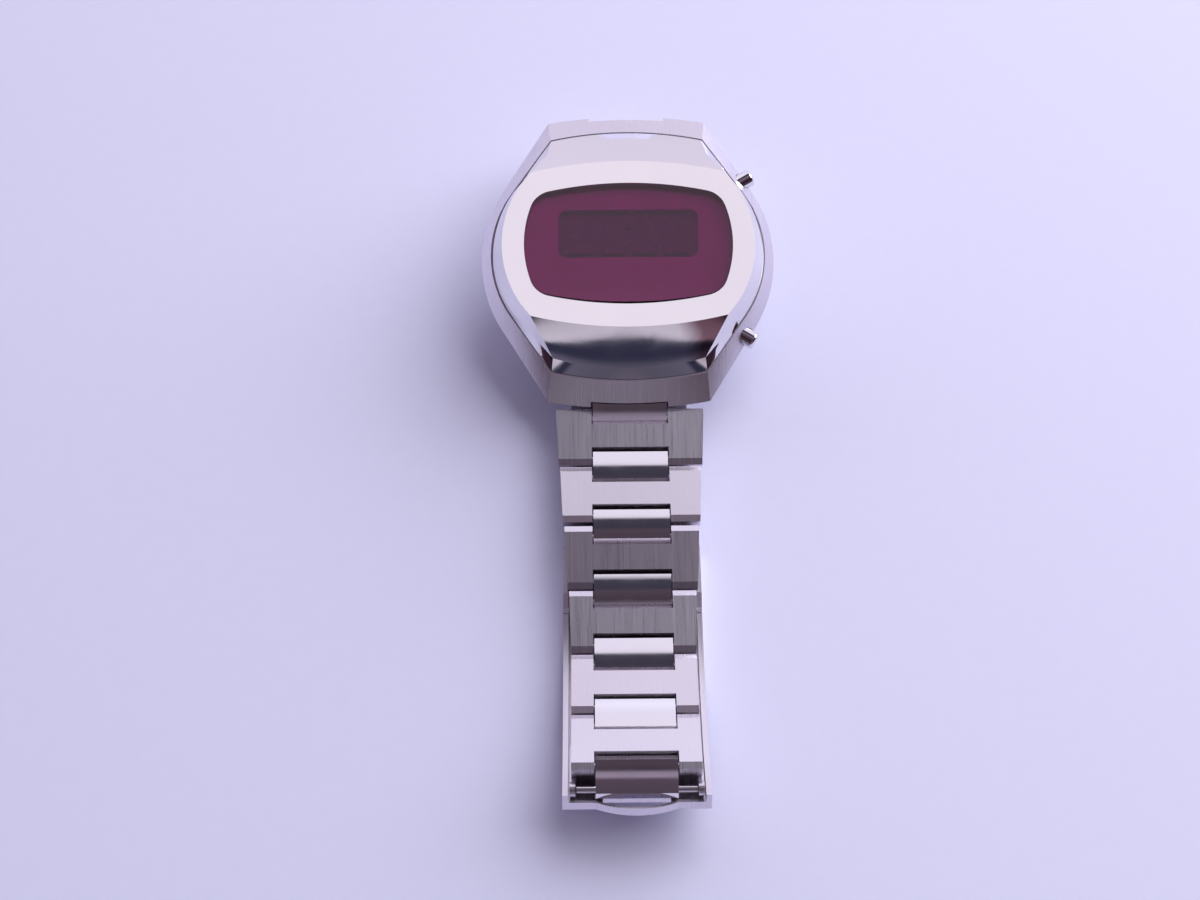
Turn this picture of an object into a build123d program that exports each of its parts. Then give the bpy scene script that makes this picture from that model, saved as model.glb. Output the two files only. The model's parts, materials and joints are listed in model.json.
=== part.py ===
from build123d import *
from math import asin, cos, degrees, hypot, radians, sin, sqrt
import os

os.makedirs("parts", exist_ok=True)

# Millimetres. The watch lies on a table, bracelet closed, 12 o'clock toward +Y, crystal up.
# Head sizes are in the head's own frame: z = 0 is the outside of the case back.

# Case outlines: half width at the middle, half length and half width at the corners of the end,
# bulge of the end, half length of the side arc and how far that arc has come in at its ends
BODY_MID = (20.6, 20.85, 11.2, 1.0, 11.0, 3.35)
BODY_TOP = (19.2, 17.35, 10.8, 1.2, 9.0, 2.7)
BODY_LOW = (19.4, 20.4, 10.9, 1.0, 10.6, 3.2)
BODY_FOOT = (18.0, 19.9, 10.4, 1.0, 10.2, 3.0)
SHELL_EDGE = (19.0, 17.1, 10.7, 1.2, 9.0, 2.7)
SHELL_BAND = (18.7, 15.5, 10.5, 1.6, 9.0, 2.7)
RING_EDGE = (17.45, 10.5, 13.5, 1.65, 8.6, 2.5)

FOOT_Z = 1.2
LOW_Z = 2.4
MID_Z = 4.2
BODY_TOP_Z = 6.3
SHELL_Z = 6.4
BAND_Z = 7.4
RING_Z = 10.8

# Window and crystal: half width, half length, corner position, corner radius
WINDOW_W = 14.4
WINDOW_L = 8.75
WINDOW_CORNER = (12.7, 7.25)
WINDOW_ROUND = 3.3
CRYSTAL_FIT = 0.05
FLANGE = 0.8
FLANGE_Z = 9.1
FLANGE_T = 0.6
GASKET_T = 0.3
CRYSTAL_TOP_Z = 11.35
BULGE_RADIUS = 270.0

# Display
MASK_Z = 8.75
MASK_T = 0.3
DISPLAY_W = 19.3
DISPLAY_L = 7.0
DISPLAY_Y = 1.75
DISPLAY_ROUND = 1.2
DISPLAY_EDGE = 0.8
SUBSTRATE_T = 0.6
DIGITS = 4
DIGIT_PITCH = 4.4
DIGIT_W = 3.4
DIGIT_L = 5.4
DIGIT_T = 0.7
COLON_R = 0.35
COLON_Y = 1.35

# Inside of the case
POCKET_R = 14.5
POCKET_TOP_Z = 8.7
BACK_R = 16.2
BACK_LAP = 1.3
BORE_R = BACK_R - BACK_LAP
BACK_CHAMFER = 0.5
SPIGOT_T = 1.2
SPIGOT_Z = 2.0
BACK_NOTCHES = 6
NOTCH_W = 2.0
NOTCH_DEPTH = 0.9
GASKET_INSET = 0.3
GASKET_WIDTH = 0.7
GASKET_RING = (BACK_R - GASKET_INSET - GASKET_WIDTH, BACK_R - GASKET_INSET)
GASKET_RING_T = 0.4
HOLDER_FIT = 0.3
HOLDER_R = BORE_R - HOLDER_FIT
HOLDER_Z = 2.25
HOLDER_TOP_Z = 6.4
CELL_R = 5.8
CELL_X = 6.2
CELL_Y = -1.5
CELL_Z = 2.3
CELL_T = 4.0
CELL_STEP = 0.4
CLIP_T = 0.15
CLIP_W = 4.0
CLIP_REACH = 2.9
BOARD_FIT = 0.2
BOARD_R = POCKET_R - BOARD_FIT
BOARD_Z = 6.5
BOARD_T = 0.7
CHIP = (8.0, 3.4, 1.1)
CHIP_Y = -7.4
DRIVER = (4.0, 2.6, 1.0)
DRIVER_X = 4.2
DRIVER_Y = 9.6
CAN_R = 0.7
CAN_L = 5.0
CAN_Y = -11.4
TRIMMER_R = 1.2
TRIMMER_T = 0.9
TRIMMER_PLACE = (9.5, -6.8)
SLOT_W = 0.4
PART_GAP = 0.05

# Pushers
PUSHER_PLACE = (16.75, 11.8)
PUSHER_ANGLE = 31.6
PUSHER_Z = 4.3
PUSHER_HEAD_R = 1.25
PUSHER_OUT = 1.1
PUSHER_IN = 2.4
PUSHER_TRAVEL = 0.8
PUSHER_ROUND = 0.4
STEM_R = 0.6
STEM_IN = 0.310918
STEM_REACH = hypot(*PUSHER_PLACE) - BORE_R + STEM_IN
BORE_FIT = 0.06
SEAL_R = 1.2
SEAL_T = 0.6
SEAL_DEPTH = 4.3
SEAL_FIT = 0.03
CONTACT_GAP = 0.25
CONTACT = (0.3, 1.6, 1.8)

# Bracelet
TILT = 13.2
LUG_Y = 18.6
LUG_Z = 3.0
LUG_6 = (-17.68, 5.46)
LINK_HALF = 1.2
LINK_PINS = 6.2
CENTRE_PINS = 2.9
END_PINS = 4.48
LAST_PINS = 6.0
LAST_HALF = 0.85
ARM_REACH = 1.25
CENTRE_REACH = 1.15
BAR_GAP = 0.2
ARM_X = 5.25
CENTRE_X = 5.1
CENTRE_TOP = 0.65
CENTRE_SHOULDER = 0.3
CROWN = 0.16
ARM_BEVEL = 0.85
ARM_BEVEL_DROP = 0.33
END_STEP = 1.15
END_STEP_Z = 0.5
PIN_R = 0.4
PIN_FIT = 0.05
PIN_PRESS = 0.02
PIN_COVER = 0.4
WIDTH_SLOPE = 0.066
WIDTH_TAPER = 2.1
LUG_BAR_R = 0.7
LUG_TIP_R = 0.4
LUG_TIP = 1.3
RECESS_GAP = 0.25
RECESS_BACK = 1.45
RECESS_TOP_Z = 4.6

# Side view of the 6 o'clock half at rest: slope of each piece, case end first
SLOPES_6 = (-9.0, -3.0, 2.0, 5.0, -1.0, -8.0, -3.0, -0.5, 5.0, 11.0, 15.5, 20.5, -10.0)
# 12 o'clock half: heading of the pieces round the bend, then slopes of the last three
TURN_12 = (-35.0, -80.0, -122.0)
LOWER_LINKS = 8
# The first lower link stands on its edge, so the run behind it falls by this slope
EDGE_RISE = 0.06
LOWER_SLOPE = -0.075
LAST_SLOPES_12 = (3.0, 7.0, 0.0)

# Clasp, drawn along the outer face of the cover: flat part, then an arc
COVER_AHEAD = 4.403548
COVER_RADIUS = 54.0
COVER_BEYOND = 2.161111
EYE_OFFSET = 1.997655
SHEET = 0.7
COVER_HALF = 9.2
COVER_ROOM = 0.4
WIDTH_END = COVER_HALF - SHEET - COVER_ROOM
WIDTH_START = WIDTH_END + WIDTH_TAPER
FLANGE_H = 2.3
FLANGE_END_H = 2.75
FLANGE_NOSE_H = 1.15
FLANGE_NOSE_L = 1.0
FLANGE_STEP = 7.0
FLANGE_RAMP = 2.0
HOLE_PITCH = 2.6
HOLES = 3
BAR_12_R = 0.5
BAR_12_TIP_R = 0.3
BLADE_A = (0.8, 1.4)
BLADE_B = (1.55, 2.15)
BLADE_A_HALF = 5.4
BLADE_B_HALF = 6.6
BLADE_SLOT_HALF = 2.4
FOLD_S = 9.3
FOLD_OFFSET = 1.5
LIP_HINGE_INSET = 7.240751
LIP_HINGE_OFFSET = 1.4
BARREL_R = 0.65
HINGE_PIN_R = 0.35
KNUCKLE_A = 3.0
KNUCKLE_B = 5.2
KNUCKLE_GAP = 0.12
BLADE_SLOT_END = 3.25
BLADE_A_GAP = 0.1
BLADE_B_GAP = 0.15
BLADE_NECK = 4.8
EAR_ROOM = 0.36
LIP_EAR = 0.8
EAR_FIT = 0.2
EAR_T = 0.7
EAR_X = COVER_HALF - SHEET - EAR_FIT - EAR_T
EYE_R = 0.95
EAR_RISE = 0.4
BAR_6_R = 0.5
OPEN_GAP = 0.15
LIP_CHORD = 5.2
LIP_BULGE = 1.2
LIP_RIM = 0.4
LIP_H = 1.1
LIP_SLOT = 1.0
LIP_SLOT_X = 4.2
TAB_L = 0.45
TAB_LAP = 0.5

# Overrun of cuts, and of cuts that leave a part at a slant
OVER = 1.0
FAR = 4.0


# Frames

def head_point(y, z):
    """Place of a head-frame point in the side view of the whole watch."""
    c, s = cos(radians(TILT)), sin(radians(TILT))
    return HEAD_Y + y * c - z * s, HEAD_Z + y * s + z * c


HEAD_Y = LUG_6[0] + LUG_Y * cos(radians(TILT)) + LUG_Z * sin(radians(TILT))
HEAD_Z = LUG_6[1] + LUG_Y * sin(radians(TILT)) - LUG_Z * cos(radians(TILT))


def step(point, length, heading):
    a = radians(heading)
    return point[0] + length * cos(a), point[1] + length * sin(a)


def chain_6():
    """Pieces of the 6 o'clock half as (start, heading, pin distance)."""
    pieces = []
    point = LUG_6
    for index, slope in enumerate(SLOPES_6):
        length = LINK_PINS if index % 2 else CENTRE_PINS
        if index == 0:
            length = END_PINS
        heading = 180.0 - slope
        pieces.append((point, heading, length))
        point = step(point, length, heading)
    return pieces, point


def chain_12():
    """Pieces of the 12 o'clock half; the fourth comes down onto the table."""
    pieces = []
    point = head_point(LUG_Y, LUG_Z)
    count = 2 * LOWER_LINKS + 1
    for index in range(count):
        length = LINK_PINS if index % 2 else CENTRE_PINS
        if index == 0:
            length = END_PINS
        if index == count - 1:
            length = LAST_PINS
        if index < len(TURN_12):
            heading = TURN_12[index]
        elif index == len(TURN_12):
            heading = -180.0 - degrees(asin((LINK_HALF + EDGE_RISE - point[1]) / length))
        elif index >= count - len(LAST_SLOPES_12):
            heading = -180.0 - LAST_SLOPES_12[index - count]
        else:
            heading = -180.0 - LOWER_SLOPE
        pieces.append((point, heading, length))
        point = step(point, length, heading)
    return pieces, point


PIECES_6, OPEN_PIVOT = chain_6()
PIECES_12, COVER_PIVOT = chain_12()

# The cover reaches from the first adjusting hole to past the last pivot, and bends to pass under it
COVER_START_Y = COVER_PIVOT[0] + COVER_AHEAD
COVER_END_Y = OPEN_PIVOT[0] - COVER_BEYOND
COVER_FLAT_END_Y = OPEN_PIVOT[0] + sqrt((COVER_RADIUS - EYE_OFFSET) ** 2
                                        - (COVER_RADIUS - OPEN_PIVOT[1]) ** 2)


def side_plane(point, heading, outward):
    """Local frame: y runs along the piece, z points out of the wrist side."""
    a = radians(heading)
    along = Vector(0, cos(a), sin(a))
    out = Vector(0, -sin(a), cos(a)) * outward
    return Plane(origin=(0, point[0], point[1]), x_dir=along.cross(out), z_dir=out)


def head(shape):
    return Pos(0, HEAD_Y, HEAD_Z) * Rot(TILT, 0, 0) * shape


def side_solid(face, half_width):
    """A face drawn as (along, up) becomes a solid spread evenly across x."""
    upright = Plane(origin=(0, 0, 0), x_dir=(0, 1, 0), z_dir=(1, 0, 0)).location * face
    return extrude(upright, amount=half_width, both=True)


def cross_pin(radius, half_length, along=0.0, up=0.0):
    return Pos(0, along, up) * Rot(0, 90, 0) * Cylinder(radius, 2 * half_length)


def slab(x0, x1, y0, y1, z0, z1):
    centre = Pos((x0 + x1) / 2, (y0 + y1) / 2, (z0 + z1) / 2)
    return centre * Box(x1 - x0, y1 - y0, z1 - z0)


def disc(radius, z0, z1):
    return Pos(0, 0, (z0 + z1) / 2) * Cylinder(radius, z1 - z0)


def ring(outer, inner, z0, z1):
    return disc(outer, z0, z1) - disc(inner, z0 - OVER, z1 + OVER)


# Case

def octagon(outline, z):
    """Long octagon with bowed sides and bowed ends."""
    mid, length, end, bulge, arc_length, inset = outline
    near = mid - inset
    edges = [
        ThreePointArc((-end, length), (0, length + bulge), (end, length)),
        Line((end, length), (near, arc_length)),
        ThreePointArc((near, arc_length), (mid, 0), (near, -arc_length)),
        Line((near, -arc_length), (end, -length)),
        ThreePointArc((end, -length), (0, -length - bulge), (-end, -length)),
        Line((-end, -length), (-near, -arc_length)),
        ThreePointArc((-near, -arc_length), (-mid, 0), (-near, arc_length)),
        Line((-near, arc_length), (-end, length)),
    ]
    return Pos(0, 0, z) * make_face(edges)


def window(grow, z0, z1):
    """Prism of the television-shaped window, grown all round."""
    cx, cy = WINDOW_CORNER[0] + grow, WINDOW_CORNER[1] + grow
    w, length = WINDOW_W + grow, WINDOW_L + grow
    edges = [
        ThreePointArc((-cx, cy), (0, length), (cx, cy)),
        ThreePointArc((cx, cy), (w, 0), (cx, -cy)),
        ThreePointArc((cx, -cy), (0, -length), (-cx, -cy)),
        ThreePointArc((-cx, -cy), (-w, 0), (-cx, cy)),
    ]
    face = make_face(edges)
    face = fillet(face.vertices(), WINDOW_ROUND + grow)
    return extrude(Pos(0, 0, z0) * face, amount=z1 - z0)


def lug_recess(side):
    x = CENTRE_X + RECESS_GAP
    inner = LUG_Y - RECESS_BACK
    outer = BODY_MID[1] + OVER
    recess = slab(-x, x, min(side * inner, side * outer), max(side * inner, side * outer),
                  -OVER, RECESS_TOP_Z)
    bar = cross_pin(LUG_TIP_R + PIN_PRESS, x + LUG_TIP, side * LUG_Y, LUG_Z)
    return recess + bar


def pusher_frame(side):
    x, y = PUSHER_PLACE
    return Pos(x, side * y, PUSHER_Z) * Rot(0, 0, side * PUSHER_ANGLE) * Rot(0, 90, 0)


def pusher_bore(side):
    head_bore = disc(PUSHER_HEAD_R + BORE_FIT, -PUSHER_IN - PUSHER_TRAVEL, FAR)
    stem_bore = disc(STEM_R + BORE_FIT, -STEM_REACH - FAR, 0)
    seal_bore = Pos(0, 0, -SEAL_DEPTH) * Cylinder(SEAL_R, SEAL_T + PART_GAP)
    return pusher_frame(side) * (head_bore + stem_bore + seal_bore)


def case_body():
    upper = loft([octagon(BODY_LOW, LOW_Z), octagon(BODY_MID, MID_Z)], ruled=True)
    upper += loft([octagon(BODY_MID, MID_Z), octagon(BODY_TOP, BODY_TOP_Z)], ruled=True)
    foot = loft([octagon(BODY_FOOT, FOOT_Z), octagon(BODY_FOOT, LOW_Z)], ruled=True)
    body = upper + foot
    body -= disc(BORE_R, -OVER, BODY_TOP_Z + OVER)
    body -= ring(GASKET_RING[1] + PART_GAP, GASKET_RING[0] - PART_GAP, FOOT_Z - OVER,
                 FOOT_Z + GASKET_RING_T)
    for side in (-1, 1):
        body -= lug_recess(side)
        body -= pusher_bore(side)
    return body


def bezel_shell():
    shell = loft([octagon(SHELL_EDGE, SHELL_Z), octagon(SHELL_BAND, BAND_Z)], ruled=True)
    shell += loft([octagon(SHELL_BAND, BAND_Z), octagon(RING_EDGE, RING_Z)], ruled=True)
    shell -= disc(POCKET_R, SHELL_Z - OVER, POCKET_TOP_Z)
    shell -= window(FLANGE + CRYSTAL_FIT, POCKET_TOP_Z - OVER, FLANGE_Z + FLANGE_T + GASKET_T)
    shell -= window(0, POCKET_TOP_Z, RING_Z + OVER)
    return shell


def crystal():
    plate = window(-CRYSTAL_FIT, FLANGE_Z, CRYSTAL_TOP_Z)
    plate &= Pos(0, 0, CRYSTAL_TOP_Z - BULGE_RADIUS) * Sphere(BULGE_RADIUS)
    return plate + window(FLANGE, FLANGE_Z, FLANGE_Z + FLANGE_T)


def crystal_gasket():
    bottom = FLANGE_Z + FLANGE_T
    return window(FLANGE, bottom, bottom + GASKET_T) - window(0, bottom - OVER, bottom + OVER)


def display_mask():
    plate = window(FLANGE, MASK_Z, MASK_Z + MASK_T)
    opening = RectangleRounded(DISPLAY_W, DISPLAY_L, DISPLAY_ROUND)
    return plate - extrude(Pos(0, DISPLAY_Y, MASK_Z - OVER) * opening, amount=2 * OVER)


def led_display():
    bottom = BOARD_Z + BOARD_T
    x, y = DISPLAY_W / 2 + DISPLAY_EDGE, DISPLAY_L / 2 + DISPLAY_EDGE
    block = slab(-x, x, DISPLAY_Y - y, DISPLAY_Y + y, bottom, bottom + SUBSTRATE_T)
    top = bottom + SUBSTRATE_T
    for index in range(DIGITS):
        across = (index - (DIGITS - 1) / 2) * DIGIT_PITCH
        block += slab(across - DIGIT_W / 2, across + DIGIT_W / 2, DISPLAY_Y - DIGIT_L / 2,
                      DISPLAY_Y + DIGIT_L / 2, top - PART_GAP, top + DIGIT_T)
    for side in (-1, 1):
        block += Pos(0, DISPLAY_Y + side * COLON_Y) * disc(COLON_R, top - PART_GAP, top + DIGIT_T)
    return block


def circuit_board():
    return disc(BOARD_R, BOARD_Z, BOARD_Z + BOARD_T)


def on_board(size, x, y):
    bottom = BOARD_Z + BOARD_T
    return slab(x - size[0] / 2, x + size[0] / 2, y - size[1] / 2, y + size[1] / 2, bottom,
                bottom + size[2])


def logic_chips():
    chips = [on_board(CHIP, 0, CHIP_Y)]
    for side in (-1, 1):
        chips.append(on_board(DRIVER, side * DRIVER_X, DRIVER_Y))
    return Compound(children=chips)


def quartz_can():
    return cross_pin(CAN_R, CAN_L / 2, CAN_Y, BOARD_Z + BOARD_T + CAN_R)


def trimmer():
    bottom = BOARD_Z + BOARD_T
    body = disc(TRIMMER_R, bottom, bottom + TRIMMER_T)
    slot = slab(-TRIMMER_R, TRIMMER_R, -SLOT_W / 2, SLOT_W / 2, bottom + TRIMMER_T - SLOT_W,
                bottom + TRIMMER_T + OVER)
    return Pos(TRIMMER_PLACE[0], TRIMMER_PLACE[1]) * (body - slot)


def cell(side, grow, z0, z1):
    return Pos(side * CELL_X, CELL_Y) * disc(CELL_R + grow, z0, z1)


def battery_cells():
    cells = []
    for side in (-1, 1):
        can = cell(side, 0, CELL_Z + CELL_STEP, CELL_Z + CELL_T)
        cells.append(can + cell(side, -CELL_STEP, CELL_Z, CELL_Z + CELL_STEP))
    return Compound(children=cells)


def contact_place(side, depth):
    return pusher_frame(side) * Pos(0, 0, -depth)


def contact_blade(side):
    depth = STEM_REACH + PUSHER_TRAVEL + CONTACT_GAP + CONTACT[0] / 2
    return contact_place(side, depth) * Box(CONTACT[2], CONTACT[1], CONTACT[0])


def contact_springs():
    return Compound(children=[contact_blade(side) for side in (-1, 1)])


def module_holder():
    holder = disc(HOLDER_R, HOLDER_Z, HOLDER_TOP_Z)
    for side in (-1, 1):
        holder -= cell(side, PART_GAP, HOLDER_Z - OVER, HOLDER_TOP_Z + OVER)
        depth = STEM_REACH + PUSHER_TRAVEL + CONTACT_GAP + CONTACT[0]
        notch = Pos(0, 0, depth / 2) * Box(CONTACT[2], CONTACT[1], depth)
        holder -= contact_place(side, depth) * notch
    return holder


def battery_clip():
    top = CELL_Z - PART_GAP
    reach = CELL_X + CLIP_REACH
    return slab(-reach, reach, CELL_Y - CLIP_W / 2, CELL_Y + CLIP_W / 2, top - CLIP_T, top)


def case_back():
    back = disc(BACK_R, 0, FOOT_Z)
    back = chamfer(back.faces().sort_by(Axis.Z)[0].edges(), BACK_CHAMFER)
    back += ring(BORE_R - PART_GAP, BORE_R - PART_GAP - SPIGOT_T, FOOT_Z - PART_GAP, SPIGOT_Z)
    notch = slab(-NOTCH_W / 2, NOTCH_W / 2, BACK_R - NOTCH_DEPTH, BACK_R + OVER, -OVER, FOOT_Z / 2)
    for index in range(BACK_NOTCHES):
        back -= Rot(0, 0, index * 360 / BACK_NOTCHES) * notch
    return back


def case_back_gasket():
    return ring(GASKET_RING[1], GASKET_RING[0], FOOT_Z, FOOT_Z + GASKET_RING_T)


def pusher(side):
    cap_length = PUSHER_OUT + PUSHER_IN
    cap = Pos(0, 0, PUSHER_OUT - cap_length / 2) * Cylinder(PUSHER_HEAD_R, cap_length)
    cap = fillet(cap.faces().sort_by(Axis.Z)[-1].edges(), PUSHER_ROUND)
    stem = Pos(0, 0, -(PUSHER_IN + STEM_REACH) / 2) * Cylinder(STEM_R, STEM_REACH - PUSHER_IN)
    return pusher_frame(side) * (cap + stem)


def pusher_seals():
    seals = []
    for side in (-1, 1):
        seal = Cylinder(SEAL_R, SEAL_T) - Cylinder(STEM_R + SEAL_FIT, SEAL_T + OVER)
        seals.append(pusher_frame(side) * Pos(0, 0, -SEAL_DEPTH) * seal)
    return Compound(children=seals)


def spring_bar(side):
    bar = cross_pin(LUG_BAR_R, CENTRE_X + RECESS_GAP - PART_GAP)
    bar += cross_pin(LUG_TIP_R, CENTRE_X + RECESS_GAP + LUG_TIP - PART_GAP)
    return Pos(0, side * LUG_Y, LUG_Z) * bar


# Bracelet pieces, each drawn from its first pin along +Y with its outer face up

def link_side(pins, half):
    """Flat-topped arm with bevelled upper and round lower corners."""
    foot = sqrt(ARM_REACH ** 2 - half ** 2)
    mid = ARM_REACH * sin(radians(45))
    low = half - ARM_BEVEL_DROP
    top = ARM_REACH - ARM_BEVEL
    edges = [
        Polyline((-ARM_REACH, 0), (-ARM_REACH, low), (-top, half), (pins + top, half),
                 (pins + ARM_REACH, low), (pins + ARM_REACH, 0)),
        ThreePointArc((pins + ARM_REACH, 0), (pins + mid, -mid), (pins + foot, -half)),
        Line((pins + foot, -half), (-foot, -half)),
        ThreePointArc((-foot, -half), (-mid, -mid), (-ARM_REACH, 0)),
    ]
    return make_face(edges)


def centre_side(pins, half):
    """Centre piece: crowned top, sloped shoulders, round ends under them."""
    reach = CENTRE_REACH
    round_end = min(reach, half)
    diagonal = reach * sin(radians(45))
    drop = round_end * sin(radians(45))
    side = half - CROWN
    edges = [
        Polyline((-reach, 0), (-reach, CENTRE_SHOULDER), (-CENTRE_TOP, side)),
        ThreePointArc((-CENTRE_TOP, side), (pins / 2, half), (pins + CENTRE_TOP, side)),
        Polyline((pins + CENTRE_TOP, side), (pins + reach, CENTRE_SHOULDER), (pins + reach, 0)),
        ThreePointArc((pins + reach, 0), (pins + diagonal, -drop), (pins, -round_end)),
        Line((pins, -round_end), (0, -round_end)),
        ThreePointArc((0, -round_end), (-diagonal, -drop), (-reach, 0)),
    ]
    return make_face(edges)


def half_width(along):
    return max(WIDTH_END, WIDTH_START - WIDTH_SLOPE * along)


def link(distance, at_case):
    """H-shaped link and its two pins; the first link steps down to pass the case."""
    start, end = half_width(distance), half_width(distance + LINK_PINS)
    blank = side_solid(link_side(LINK_PINS, LINK_HALF), WIDTH_START + OVER)
    plan = Polyline((-start, -ARM_REACH), (start, -ARM_REACH), (end, LINK_PINS + ARM_REACH),
                    (-end, LINK_PINS + ARM_REACH), (-start, -ARM_REACH))
    blank &= extrude(make_face(plan), amount=LINK_HALF, both=True)
    bar_end = CENTRE_REACH + BAR_GAP
    below, above = -LINK_HALF - OVER, LINK_HALF + OVER
    blank -= slab(-ARM_X, ARM_X, -ARM_REACH - OVER, bar_end, below, above)
    blank -= slab(-ARM_X, ARM_X, LINK_PINS - bar_end, LINK_PINS + ARM_REACH + OVER, below, above)
    if at_case:
        side = start + OVER
        blank -= slab(-side, side, -ARM_REACH - OVER, END_STEP - ARM_REACH, END_STEP_Z, above)
    pin_half = end - PIN_COVER
    solids = []
    for along in (0, LINK_PINS):
        blank -= cross_pin(PIN_R + PIN_PRESS, pin_half + PIN_PRESS, along)
        solids.append(cross_pin(PIN_R, pin_half, along))
    return Compound(children=[blank] + solids)


def centre(pins, first_bore, last_bore, half=LINK_HALF):
    piece = side_solid(centre_side(pins, half), CENTRE_X)
    piece -= cross_pin(first_bore, CENTRE_X + OVER)
    piece -= cross_pin(last_bore, CENTRE_X + OVER, pins)
    return piece


# Clasp pieces, drawn on the curved line of the cover's outer face

def cover_point(y, offset):
    """Point above the outer face of the cover, square to it."""
    if y >= COVER_FLAT_END_Y:
        return y, offset
    a = asin((COVER_FLAT_END_Y - y) / COVER_RADIUS)
    r = COVER_RADIUS - offset
    return COVER_FLAT_END_Y - r * sin(a), COVER_RADIUS - r * cos(a)


def y_at(length):
    """World y of a place measured along the cover from its 12 o'clock end."""
    flat = COVER_START_Y - COVER_FLAT_END_Y
    if length <= flat:
        return COVER_START_Y - length
    return COVER_FLAT_END_Y - COVER_RADIUS * sin((length - flat) / COVER_RADIUS)


def cover_line(y0, y1, offset):
    """Straight and arc edges of the cover's line between two places."""
    split = COVER_FLAT_END_Y
    edges = []
    if y0 > split:
        edges.append(Line(cover_point(y0, offset), cover_point(max(y1, split), offset)))
    if y1 < split:
        start = min(y0, split)
        edges.append(ThreePointArc(cover_point(start, offset), cover_point((start + y1) / 2, offset),
                                   cover_point(y1, offset)))
    return edges


def band(y0, y1, low, high):
    """Side view of a sheet that follows the cover between two places."""
    edges = cover_line(y0, y1, low) + cover_line(y0, y1, high)
    edges.append(Line(cover_point(y0, low), cover_point(y0, high)))
    edges.append(Line(cover_point(y1, low), cover_point(y1, high)))
    return make_face(edges)


def strip(y0, y1, low, high, x0, x1):
    solid = side_solid(band(y0, y1, low, high), max(-x0, x1) + OVER)
    return solid & slab(x0, x1, y1 - FAR, y0 + OVER, -OVER, COVER_RADIUS)


def cover_pin(radius, half_length, y, offset):
    return cross_pin(radius, half_length, *cover_point(y, offset))


def cover_length():
    flat = COVER_START_Y - COVER_FLAT_END_Y
    return flat + COVER_RADIUS * asin((COVER_FLAT_END_Y - COVER_END_Y) / COVER_RADIUS)


FOLD_Y = y_at(FOLD_S)
LIP_HINGE_Y = y_at(cover_length() - LIP_HINGE_INSET)


def lip():
    """Bowed thumb rim at the end of the cover, open behind it."""
    bow = make_face([
        ThreePointArc((-LIP_CHORD, 0), (0, -LIP_BULGE), (LIP_CHORD, 0)),
        Line((LIP_CHORD, 0), (-LIP_CHORD, 0)),
    ])
    wide = extrude(bow, amount=LIP_H)
    inner = extrude(Pos(0, LIP_RIM, -OVER) * bow, amount=LIP_H + 2 * OVER)
    rim = wide - inner
    y, z = cover_point(COVER_END_Y, 0)
    slope = degrees(asin((COVER_FLAT_END_Y - COVER_END_Y) / COVER_RADIUS))
    return Pos(0, y + PART_GAP, z) * Rot(-slope, 0, 0) * rim


def clasp_cover():
    cover = strip(COVER_START_Y, COVER_END_Y, 0, SHEET, -COVER_HALF, COVER_HALF)
    step_y, ramp_y = y_at(FLANGE_STEP), y_at(FLANGE_STEP + FLANGE_RAMP)
    for side in (-1, 1):
        x0, x1 = sorted((side * (COVER_HALF - SHEET), side * COVER_HALF))
        cover += strip(COVER_START_Y, COVER_END_Y, 0, FLANGE_H, x0, x1)
        raised = Polyline((COVER_START_Y, FLANGE_NOSE_H), (COVER_START_Y - FLANGE_NOSE_L, FLANGE_END_H),
                          (step_y, FLANGE_END_H), (ramp_y, FLANGE_H), (ramp_y, SHEET),
                          (COVER_START_Y, SHEET), (COVER_START_Y, FLANGE_NOSE_H))
        wall = side_solid(make_face(raised), COVER_HALF) & slab(x0, x1, ramp_y - OVER, COVER_START_Y + OVER,
                                                               0, FLANGE_END_H + OVER)
        cover += wall
        ear0, ear1 = sorted((side * (KNUCKLE_A + KNUCKLE_GAP), side * (KNUCKLE_A + KNUCKLE_GAP + LIP_EAR)))
        ear = strip(LIP_HINGE_Y + BARREL_R, LIP_HINGE_Y - BARREL_R, 0, LIP_HINGE_OFFSET, ear0, ear1)
        ear += cover_pin(BARREL_R, COVER_HALF, LIP_HINGE_Y, LIP_HINGE_OFFSET) & slab(
            ear0, ear1, LIP_HINGE_Y - FAR, LIP_HINGE_Y + FAR, 0, COVER_RADIUS)
        cover += ear
        tab0, tab1 = sorted((side * (LIP_CHORD - TAB_LAP), side * COVER_HALF))
        cover += strip(COVER_END_Y + TAB_L, COVER_END_Y, 0, LIP_H, tab0, tab1)
    cover += lip()
    cover -= strip(COVER_END_Y + LIP_SLOT, COVER_END_Y, -OVER, SHEET + OVER, -LIP_SLOT_X, LIP_SLOT_X)
    for index in range(HOLES):
        y = COVER_PIVOT[0] - index * HOLE_PITCH
        cover -= cross_pin(BAR_12_TIP_R + PIN_PRESS, COVER_HALF + OVER, y, COVER_PIVOT[1])
    cover -= cover_pin(HINGE_PIN_R + PIN_PRESS, KNUCKLE_A + LIP_EAR + OVER, LIP_HINGE_Y, LIP_HINGE_OFFSET)
    return cover


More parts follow.
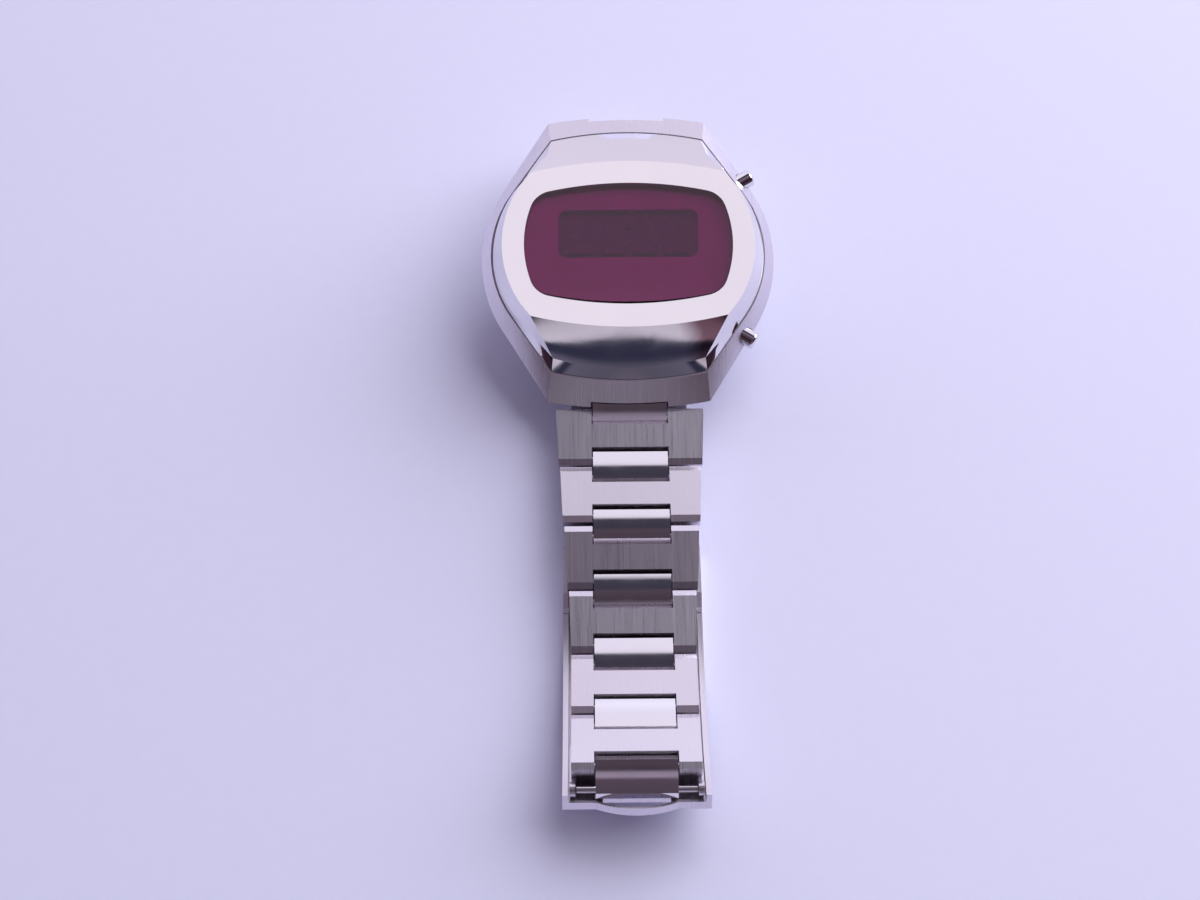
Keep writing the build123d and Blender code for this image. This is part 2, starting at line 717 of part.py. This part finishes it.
def blade_outer():
    """Blade one: from the lip hinge to the fold hinge, next to the cover."""
    low, high = BLADE_A
    blade = strip(FOLD_Y, LIP_HINGE_Y, low, high, -KNUCKLE_A, KNUCKLE_A)
    reach = BARREL_R + BLADE_A_GAP
    blade += strip(FOLD_Y - reach, LIP_HINGE_Y + reach, low, high, -BLADE_A_HALF, BLADE_A_HALF)
    blade -= strip(FOLD_Y - BLADE_SLOT_END, LIP_HINGE_Y + BLADE_SLOT_END, low - OVER, high + OVER,
                   -BLADE_SLOT_HALF, BLADE_SLOT_HALF)
    blade += cover_pin(BARREL_R, KNUCKLE_A, FOLD_Y, FOLD_OFFSET)
    blade += cover_pin(BARREL_R, KNUCKLE_A, LIP_HINGE_Y, LIP_HINGE_OFFSET)
    blade -= cover_pin(HINGE_PIN_R + PIN_PRESS, COVER_HALF, FOLD_Y, FOLD_OFFSET)
    blade -= cover_pin(HINGE_PIN_R + PIN_FIT, COVER_HALF, LIP_HINGE_Y, LIP_HINGE_OFFSET)
    return blade


def blade_inner():
    """Blade two: from the fold hinge to the ears that take the last centre piece."""
    low, high = BLADE_B
    half_ear = EAR_X + EAR_T
    neck_y = OPEN_PIVOT[0] + BLADE_NECK
    front_y = OPEN_PIVOT[0] + CENTRE_PINS
    blade = strip(FOLD_Y, neck_y, low, high, -BLADE_B_HALF, BLADE_B_HALF)
    blade += strip(neck_y + OVER, front_y, low, high, -half_ear, half_ear)
    reach = BARREL_R + BLADE_B_GAP
    blade -= strip(FOLD_Y + OVER, FOLD_Y - reach, low - OVER, high + OVER, -KNUCKLE_A - KNUCKLE_GAP,
                   KNUCKLE_A + KNUCKLE_GAP)
    window_x = KNUCKLE_A + LIP_EAR + EAR_ROOM
    blade -= strip(LIP_HINGE_Y + reach, LIP_HINGE_Y - reach, low - OVER, high + OVER, -window_x, window_x)
    blade -= strip(FOLD_Y - BLADE_SLOT_END, LIP_HINGE_Y + BLADE_SLOT_END, low - OVER, high + OVER,
                   -BLADE_SLOT_HALF, BLADE_SLOT_HALF)
    behind = COVER_FLAT_END_Y - OPEN_PIVOT[0]
    eye_foot_y = COVER_FLAT_END_Y - COVER_RADIUS * behind / (COVER_RADIUS - EYE_OFFSET)
    for side in (-1, 1):
        k0, k1 = sorted((side * (KNUCKLE_A + KNUCKLE_GAP), side * KNUCKLE_B))
        knuckle = cover_pin(BARREL_R, COVER_HALF, FOLD_Y, FOLD_OFFSET)
        blade += knuckle & slab(k0, k1, FOLD_Y - FAR, FOLD_Y + FAR, 0, COVER_RADIUS)
        outer0, outer1 = sorted((side * KNUCKLE_B, side * (half_ear + OVER)))
        blade -= strip(FOLD_Y + OVER, FOLD_Y - OVER, low - OVER, high + OVER, outer0, outer1)
        e0, e1 = sorted((side * EAR_X, side * half_ear))
        blade += strip(front_y + OVER, eye_foot_y, EYE_OFFSET - EAR_RISE, EYE_OFFSET + EAR_RISE, e0, e1)
        blade += cross_pin(EYE_R, half_ear, *OPEN_PIVOT) & slab(
            e0, e1, OPEN_PIVOT[0] - FAR, OPEN_PIVOT[0] + FAR, 0, COVER_RADIUS)
    blade -= cross_pin(BAR_6_R + PIN_FIT, COVER_HALF, *OPEN_PIVOT)
    blade -= cover_pin(HINGE_PIN_R + PIN_FIT, COVER_HALF, FOLD_Y, FOLD_OFFSET)
    return blade


def fold_hinge_pin():
    return cover_pin(HINGE_PIN_R, KNUCKLE_B, FOLD_Y, FOLD_OFFSET)


def lip_hinge_pin():
    return cover_pin(HINGE_PIN_R, KNUCKLE_A + KNUCKLE_GAP + LIP_EAR, LIP_HINGE_Y, LIP_HINGE_OFFSET)


def clasp_end_bar():
    return cross_pin(BAR_6_R, EAR_X - OPEN_GAP, *OPEN_PIVOT)


def clasp_spring_bar():
    bar = cross_pin(BAR_12_R, COVER_HALF - SHEET - PART_GAP, *COVER_PIVOT)
    return bar + cross_pin(BAR_12_TIP_R, COVER_HALF - PART_GAP, *COVER_PIVOT)


def head_nodes():
    return {
        "case_body": case_body(),
        "bezel_shell": bezel_shell(),
        "crystal": crystal(),
        "crystal_gasket": crystal_gasket(),
        "display_mask": display_mask(),
        "led_display": led_display(),
        "circuit_board": circuit_board(),
        "logic_chips": logic_chips(),
        "quartz_can": quartz_can(),
        "trimmer": trimmer(),
        "module_holder": module_holder(),
        "battery_cells": battery_cells(),
        "battery_clip": battery_clip(),
        "contact_springs": contact_springs(),
        "case_back": case_back(),
        "case_back_gasket": case_back_gasket(),
        "pusher_upper": pusher(1),
        "pusher_lower": pusher(-1),
        "pusher_seals": pusher_seals(),
        "spring_bar_6": spring_bar(-1),
        "spring_bar_12": spring_bar(1),
    }


def bracelet_half(name, pieces, outward, last_bore, last_half):
    nodes = {}
    travelled = -END_PINS
    last = len(pieces) - 1
    for index, (point, heading, pins) in enumerate(pieces):
        plane = side_plane(point, heading, outward)
        if index % 2:
            shape = link(travelled, index == 1)
            label = "link_%s_%d" % (name, (index + 1) // 2)
        else:
            first = LUG_BAR_R if index == 0 else PIN_R
            end = last_bore if index == last else PIN_R
            half = last_half if index == last else LINK_HALF
            shape = centre(pins, first + PIN_FIT, end + PIN_FIT, half)
            label = "centre_%s_%d" % (name, index // 2)
        nodes[label] = plane.location * shape
        travelled += pins
    return nodes


def clasp_nodes():
    return {
        "clasp_cover": clasp_cover(),
        "clasp_blade_outer": blade_outer(),
        "clasp_blade_inner": blade_inner(),
        "fold_hinge_pin": fold_hinge_pin(),
        "lip_hinge_pin": lip_hinge_pin(),
        "clasp_end_bar": clasp_end_bar(),
        "clasp_spring_bar": clasp_spring_bar(),
    }


def build():
    nodes = {name: head(shape) for name, shape in head_nodes().items()}
    nodes.update(bracelet_half("6", PIECES_6, -1, BAR_6_R, LINK_HALF))
    nodes.update(bracelet_half("12", PIECES_12, 1, BAR_12_R, LAST_HALF))
    nodes.update(clasp_nodes())
    boxes = [shape.bounding_box() for shape in nodes.values()]
    front = min(box.min.Y for box in boxes)
    rear = max(box.max.Y for box in boxes)
    ground = min(box.min.Z for box in boxes)
    shift = Vector(0, -(front + rear) / 2, -ground)
    return {name: Pos(*shift) * shape for name, shape in nodes.items()}, shift


NODES, SHIFT = build()
for NAME, SHAPE in NODES.items():
    export_step(SHAPE, "parts/%s.step" % NAME)
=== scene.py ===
import json
from math import cos, pi, radians, sin

import bpy
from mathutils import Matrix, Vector

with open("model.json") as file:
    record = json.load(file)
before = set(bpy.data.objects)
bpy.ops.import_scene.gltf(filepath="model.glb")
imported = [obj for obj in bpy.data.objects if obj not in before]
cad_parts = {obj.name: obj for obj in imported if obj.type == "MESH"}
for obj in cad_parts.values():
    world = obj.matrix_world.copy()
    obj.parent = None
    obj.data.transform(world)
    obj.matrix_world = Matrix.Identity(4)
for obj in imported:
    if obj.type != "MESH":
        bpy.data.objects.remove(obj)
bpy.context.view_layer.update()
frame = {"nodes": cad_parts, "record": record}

MM = 0.001
nodes = frame["nodes"]
record = frame["record"]

# Camera, found from the pixel places of the case, the window and every link
PHOTO_WIDTH = 1200
FOCAL_PIXELS = 1836.0
SENSOR = 36.0
CAMERA_Y = -117.6 * MM
CAMERA_Z = 227.3 * MM
CAMERA_PITCH = 62.09
CAMERA_LEFT = 3.9 * MM
CAMERA_TURN = -0.49
CAMERA_NEAREST = 10.0 * MM
HEAD_CENTRE_Y = 28.0 * MM

# Noise: the part of its range that is used, and how fine it is on each surface
NOISE_LOW = 0.3
NOISE_HIGH = 0.7
NOISE_DETAIL = 4.0
FINE_DETAIL = 6.0
STEEL_DRIFT = 90.0
POLISH_SMEAR = 320.0
GRAIN_ALONG = (9000, 100, 100)
GRAIN_DEPTH = 0.04 * MM
PLASTIC_SPECK = 900.0
GRIT_DEPTH = 0.03 * MM
GLASS_WAVE = 60.0
GLASS_IOR = 1.5

# Paper floor
FLOOR_SIZE = 1.6
FLOOR_COLOUR = (0.77, 0.77, 0.98)
FLOOR_COLOUR_PALER = (0.80, 0.80, 1.0)
PAPER_FIBRE = 400.0
FIBRE_DEPTH = 0.2 * MM
FIBRE_STRENGTH = 0.1

# Polished steel, light and dark
POLISHED_DARK = (0.80, 0.78, 0.81)
POLISHED_LIGHT = (0.86, 0.84, 0.86)

# Facets of the upper shell, in the tilted head's own directions
RING_CENTRE = (0, 0.02593, 0.0173)
BEZEL_TILT = radians(13.2)
FACET_HEIGHT = 0.0034
FACET_CROWN = 18.0
FACET_SPREAD = 1150.0

# Rounded edges
LINK_EDGE = 0.08 * MM
SHELL_EDGE = 0.12 * MM
EDGE_SEGMENTS = 2
EDGE_ANGLE = radians(28)

# Lamps: place, point aimed at, size, power, colour
WINDOW = ((0.50, 0.42, 0.50), (0, 0, 0), (1.10, 1.10), 10.2, (0.94, 0.94, 1.0))
SIDE = ((0.55, 0.30, 0.45), (0, 0, 0), (0.45, 0.45), 6.0, (0.93, 0.94, 1.0))
CEILING = ((0, 0.052, 0.16), (0, 0.052, 0), (0.09, 0.07), 0.0185, (0.96, 0.90, 1.0))

# Room mirrored in the steel, by share of the half turn from +Y over the top to -Y
ROOM = (
    (0.00, (0.80, 0.74, 0.90)),
    (0.10, (0.84, 0.78, 0.95)),
    (0.16, (1.02, 1.00, 1.20)),
    (0.22, (0.92, 0.87, 1.05)),
    (0.30, (0.92, 0.87, 1.01)),
    (0.325, (0.86, 0.81, 0.94)),
    (0.340, (0.06, 0.055, 0.08)),
    (0.400, (0.05, 0.045, 0.07)),
    (0.415, (0.09, 0.065, 0.09)),
    (0.475, (0.06, 0.045, 0.06)),
    (0.492, (0.30, 0.25, 0.34)),
    (0.515, (0.34, 0.27, 0.37)),
    (0.530, (0.10, 0.07, 0.10)),
    (0.700, (0.07, 0.055, 0.08)),
    (0.805, (0.08, 0.065, 0.09)),
    (0.825, (0.52, 0.47, 0.56)),
    (0.847, (0.64, 0.59, 0.70)),
    (0.852, (0.03, 0.03, 0.06)),
    (0.866, (0.03, 0.03, 0.06)),
    (0.873, (0.12, 0.11, 0.16)),
    (0.930, (0.10, 0.09, 0.13)),
    (1.00, (0.26, 0.22, 0.30)),
)
# Tint laid over the room far to the left and right, by the same share
SIDES = (
    (0.60, (1.0, 1.0, 1.0)),
    (0.70, (0.30, 0.17, 0.20)),
)
SIDES_CENTRE = -0.05
SIDES_NEAR = 0.22
SIDES_FAR = 0.28


# Materials

def new_material(name):
    material = bpy.data.materials.new(name)
    material.use_nodes = True
    tree = material.node_tree
    shader = tree.nodes["Principled BSDF"]
    return material, tree, shader


def noise(tree, scale, stretch=(1, 1, 1), detail=NOISE_DETAIL):
    """Noise in the piece's own space, stretched along chosen axes."""
    place = tree.nodes.new("ShaderNodeTexCoord")
    mapping = tree.nodes.new("ShaderNodeMapping")
    mapping.inputs["Scale"].default_value = stretch
    texture = tree.nodes.new("ShaderNodeTexNoise")
    texture.inputs["Scale"].default_value = scale
    texture.inputs["Detail"].default_value = detail
    tree.links.new(place.outputs["Object"], mapping.inputs["Vector"])
    tree.links.new(mapping.outputs["Vector"], texture.inputs["Vector"])
    return texture


def spread(tree, source, low, high):
    """Maps a noise value onto a range."""
    ramp = tree.nodes.new("ShaderNodeMapRange")
    ramp.inputs["From Min"].default_value = NOISE_LOW
    ramp.inputs["From Max"].default_value = NOISE_HIGH
    ramp.inputs["To Min"].default_value = low
    ramp.inputs["To Max"].default_value = high
    tree.links.new(source, ramp.inputs["Value"])
    return ramp.outputs["Result"]


def tint(tree, source, first, second):
    """Mixes two colours by a noise value."""
    mix = tree.nodes.new("ShaderNodeMix")
    mix.data_type = "RGBA"
    mix.inputs["A"].default_value = (*first, 1)
    mix.inputs["B"].default_value = (*second, 1)
    tree.links.new(source, mix.inputs["Factor"])
    return mix.outputs["Result"]


def calculate(tree, kind, source, value):
    """One sum on a value; the second term is a number or another value."""
    node = tree.nodes.new("ShaderNodeMath")
    node.operation = kind
    tree.links.new(source, node.inputs[0])
    if isinstance(value, (int, float)):
        node.inputs[1].default_value = value
    else:
        tree.links.new(value, node.inputs[1])
    return node.outputs["Value"]


def bump(tree, shader, source, strength, distance):
    node = tree.nodes.new("ShaderNodeBump")
    node.inputs["Strength"].default_value = strength
    node.inputs["Distance"].default_value = distance
    tree.links.new(source, node.inputs["Height"])
    tree.links.new(node.outputs["Normal"], shader.inputs["Normal"])


def metal(name, first, second, rough, grain=None, grain_strength=0.0):
    """Metal with a tone that drifts, uneven roughness and, if brushed, a grain along one axis."""
    material, tree, shader = new_material(name)
    shader.inputs["Metallic"].default_value = 1.0
    drift = noise(tree, STEEL_DRIFT)
    tree.links.new(tint(tree, drift.outputs["Fac"], first, second), shader.inputs["Base Color"])
    if grain:
        lines = noise(tree, 1.0, grain, FINE_DETAIL)
        tree.links.new(spread(tree, lines.outputs["Fac"], *rough), shader.inputs["Roughness"])
        bump(tree, shader, lines.outputs["Fac"], grain_strength, GRAIN_DEPTH)
    else:
        smear = noise(tree, POLISH_SMEAR, detail=FINE_DETAIL)
        tree.links.new(spread(tree, smear.outputs["Fac"], *rough), shader.inputs["Roughness"])
    return material


def crown_facets(material):
    """Shading that bulges the facets between their edges and turns them more the farther they are
    from the middle. It is a bump: in the mesh they run straight from edge to edge. It isn't
    limited to the facets, and turns the bands at the sides the most."""
    tree = material.node_tree
    shader = tree.nodes["Principled BSDF"]
    place = tree.nodes.new("ShaderNodeTexCoord")
    turn = tree.nodes.new("ShaderNodeMapping")
    turn.vector_type = "TEXTURE"
    turn.inputs["Location"].default_value = RING_CENTRE
    turn.inputs["Rotation"].default_value = (BEZEL_TILT, 0, 0)
    split = tree.nodes.new("ShaderNodeSeparateXYZ")
    tree.links.new(place.outputs["Object"], turn.inputs["Vector"])
    tree.links.new(turn.outputs["Vector"], split.inputs["Vector"])
    across = split.outputs["X"]
    up = split.outputs["Z"]
    from_middle = calculate(tree, "ADD", up, FACET_HEIGHT / 2)
    swell = calculate(tree, "MULTIPLY", calculate(tree, "POWER", from_middle, 2), -FACET_CROWN / 2)
    on_facet = calculate(tree, "MAXIMUM", up, -FACET_HEIGHT)
    turned = calculate(tree, "MULTIPLY", calculate(tree, "POWER", across, 2), on_facet)
    level = calculate(tree, "MULTIPLY", turned, -FACET_SPREAD)
    bump(tree, shader, calculate(tree, "ADD", swell, level), 1.0, 1.0)


def plastic(name, first, second, rough, grit=0.0):
    """Plastic or rubber with a fine speck in its tone and roughness, and grit if it has any."""
    material, tree, shader = new_material(name)
    speck = noise(tree, PLASTIC_SPECK)
    tree.links.new(tint(tree, speck.outputs["Fac"], first, second), shader.inputs["Base Color"])
    tree.links.new(spread(tree, speck.outputs["Fac"], *rough), shader.inputs["Roughness"])
    if grit:
        bump(tree, shader, speck.outputs["Fac"], grit, GRIT_DEPTH)
    return material


def red_glass():
    material, tree, shader = new_material("red_crystal_glass")
    wave = noise(tree, GLASS_WAVE)
    colour = tint(tree, wave.outputs["Fac"], (0.66, 0.10, 0.50), (0.72, 0.12, 0.54))
    tree.links.new(colour, shader.inputs["Base Color"])
    tree.links.new(spread(tree, wave.outputs["Fac"], 0.01, 0.04), shader.inputs["Roughness"])
    shader.inputs["Transmission Weight"].default_value = 1.0
    shader.inputs["IOR"].default_value = GLASS_IOR
    return material


MATERIALS = {
    "polished_steel": metal("polished_steel_skin", POLISHED_DARK, POLISHED_LIGHT, (0.05, 0.11)),
    "satin_steel": metal("satin_steel_skin", (0.72, 0.68, 0.74), (0.78, 0.74, 0.80), (0.26, 0.34),
                         GRAIN_ALONG, 0.06),
    "red_crystal": red_glass(),
    "black_rubber": plastic("black_rubber_skin", (0.02, 0.02, 0.02), (0.05, 0.05, 0.05), (0.5, 0.8), 0.3),
    "mask_red": plastic("mask_red_skin", (0.44, 0.10, 0.34), (0.50, 0.12, 0.38), (0.3, 0.45)),
    "display_dark": plastic("display_dark_skin", (0.03, 0.022, 0.03), (0.045, 0.035, 0.045),
                            (0.15, 0.3)),
    "board_green": plastic("board_green_skin", (0.03, 0.16, 0.07), (0.05, 0.22, 0.10), (0.35, 0.5), 0.2),
    "chip_black": plastic("chip_black_skin", (0.02, 0.02, 0.022), (0.04, 0.04, 0.045), (0.4, 0.6), 0.2),
    "holder_plastic": plastic("holder_plastic_skin", (0.62, 0.58, 0.47), (0.70, 0.66, 0.55),
                              (0.4, 0.6), 0.2),
    "gilt_brass": metal("gilt_brass_skin", (0.74, 0.52, 0.20), (0.84, 0.62, 0.28), (0.18, 0.32)),
}


def dress_nodes():
    slots = {entry["node"]: entry["material_slot"] for entry in record["subparts"]}
    for name, thing in nodes.items():
        thing.data.materials.clear()
        thing.data.materials.append(MATERIALS[slots[name]])
    bezel = metal("bezel_skin", POLISHED_DARK, POLISHED_LIGHT, (0.03, 0.07))
    crown_facets(bezel)
    nodes["bezel_shell"].data.materials[0] = bezel


def soften(name, width):
    """Small rounded edges that catch the light."""
    edge = nodes[name].modifiers.new("edge", "BEVEL")
    edge.width = width
    edge.segments = EDGE_SEGMENTS
    edge.limit_method = "ANGLE"
    edge.angle_limit = EDGE_ANGLE


def soften_nodes():
    for name in nodes:
        if name.startswith(("link_", "centre_")):
            soften(name, LINK_EDGE)
    for name in ("bezel_shell", "case_body", "clasp_cover"):
        soften(name, SHELL_EDGE)


# Stage

def floor():
    bpy.ops.mesh.primitive_plane_add(size=FLOOR_SIZE)
    sheet = bpy.context.object
    sheet.name = "paper_floor"
    material, tree, shader = new_material("paper")
    fibre = noise(tree, PAPER_FIBRE)
    tree.links.new(tint(tree, fibre.outputs["Fac"], FLOOR_COLOUR, FLOOR_COLOUR_PALER),
                   shader.inputs["Base Color"])
    tree.links.new(spread(tree, fibre.outputs["Fac"], 0.8, 0.95), shader.inputs["Roughness"])
    bump(tree, shader, fibre.outputs["Fac"], FIBRE_STRENGTH, FIBRE_DEPTH)
    sheet.data.materials.append(material)


def fill_ramp(tree, stops):
    ramp = tree.nodes.new("ShaderNodeValToRGB")
    while len(ramp.color_ramp.elements) < len(stops):
        ramp.color_ramp.elements.new(0.5)
    for stop, (where, colour) in zip(ramp.color_ramp.elements, stops):
        stop.position = where
        stop.color = (*colour, 1)
    return ramp


def room():
    world = bpy.data.worlds.new("room")
    bpy.context.scene.world = world
    world.use_nodes = True
    tree = world.node_tree
    place = tree.nodes.new("ShaderNodeTexCoord")
    split = tree.nodes.new("ShaderNodeSeparateXYZ")
    tree.links.new(place.outputs["Generated"], split.inputs["Vector"])
    angle = calculate(tree, "ARCTAN2", split.outputs["Z"], split.outputs["Y"])
    share = calculate(tree, "DIVIDE", angle, pi)
    middle = fill_ramp(tree, ROOM)
    sides = fill_ramp(tree, SIDES)
    for ramp in (middle, sides):
        tree.links.new(share, ramp.inputs["Fac"])
    off_centre = calculate(tree, "SUBTRACT", split.outputs["X"], SIDES_CENTRE)
    away = calculate(tree, "ABSOLUTE", off_centre, 0)
    edge = tree.nodes.new("ShaderNodeMapRange")
    edge.inputs["From Min"].default_value = SIDES_NEAR
    edge.inputs["From Max"].default_value = SIDES_FAR
    tree.links.new(away, edge.inputs["Value"])
    mix = tree.nodes.new("ShaderNodeMix")
    mix.data_type = "RGBA"
    mix.blend_type = "MULTIPLY"
    tree.links.new(edge.outputs["Result"], mix.inputs["Factor"])
    tree.links.new(middle.outputs["Color"], mix.inputs["A"])
    tree.links.new(sides.outputs["Color"], mix.inputs["B"])
    tree.links.new(mix.outputs["Result"], tree.nodes["Background"].inputs["Color"])


def lamp(name, place, aim_at, size, power, colour):
    data = bpy.data.lights.new(name, "AREA")
    data.shape = "RECTANGLE"
    data.size, data.size_y = size
    data.energy = power
    data.color = colour
    thing = bpy.data.objects.new(name, data)
    thing.location = place
    aim = Vector(aim_at) - Vector(place)
    thing.rotation_euler = aim.to_track_quat("-Z", "Y").to_euler()
    bpy.context.collection.objects.link(thing)
    return thing


def only_on(light, things):
    """The light falls on these things and on nothing else."""
    lit = bpy.data.collections.new("lit_by_" + light.name)
    for thing in things:
        lit.objects.link(thing)
    light.light_linking.receiver_collection = lit


def lights():
    """The window lamp lights only the paper, the side lamp only the watch, and the ceiling lamp only
    the upper shell and the window."""
    only_on(lamp("window", *WINDOW), [bpy.data.objects["paper_floor"]])
    only_on(lamp("side", *SIDE), nodes.values())
    only_on(lamp("ceiling", *CEILING), [nodes["bezel_shell"], nodes["crystal"]])


def camera():
    data = bpy.data.cameras.new("photo_camera")
    data.sensor_width = SENSOR
    data.lens = FOCAL_PIXELS / PHOTO_WIDTH * SENSOR
    data.clip_start = CAMERA_NEAREST
    thing = bpy.data.objects.new("photo_camera", data)
    turn = radians(CAMERA_TURN)
    away = Vector((-CAMERA_LEFT, CAMERA_Y - HEAD_CENTRE_Y, 0))
    x = away.x * cos(turn) - away.y * sin(turn)
    y = away.x * sin(turn) + away.y * cos(turn)
    thing.location = (x, HEAD_CENTRE_Y + y, CAMERA_Z)
    thing.rotation_euler = (radians(90 - CAMERA_PITCH), 0, turn)
    bpy.context.collection.objects.link(thing)
    bpy.context.scene.camera = thing


dress_nodes()
soften_nodes()
floor()
room()
bpy.context.scene.view_settings.view_transform = "Standard"
lights()
camera()
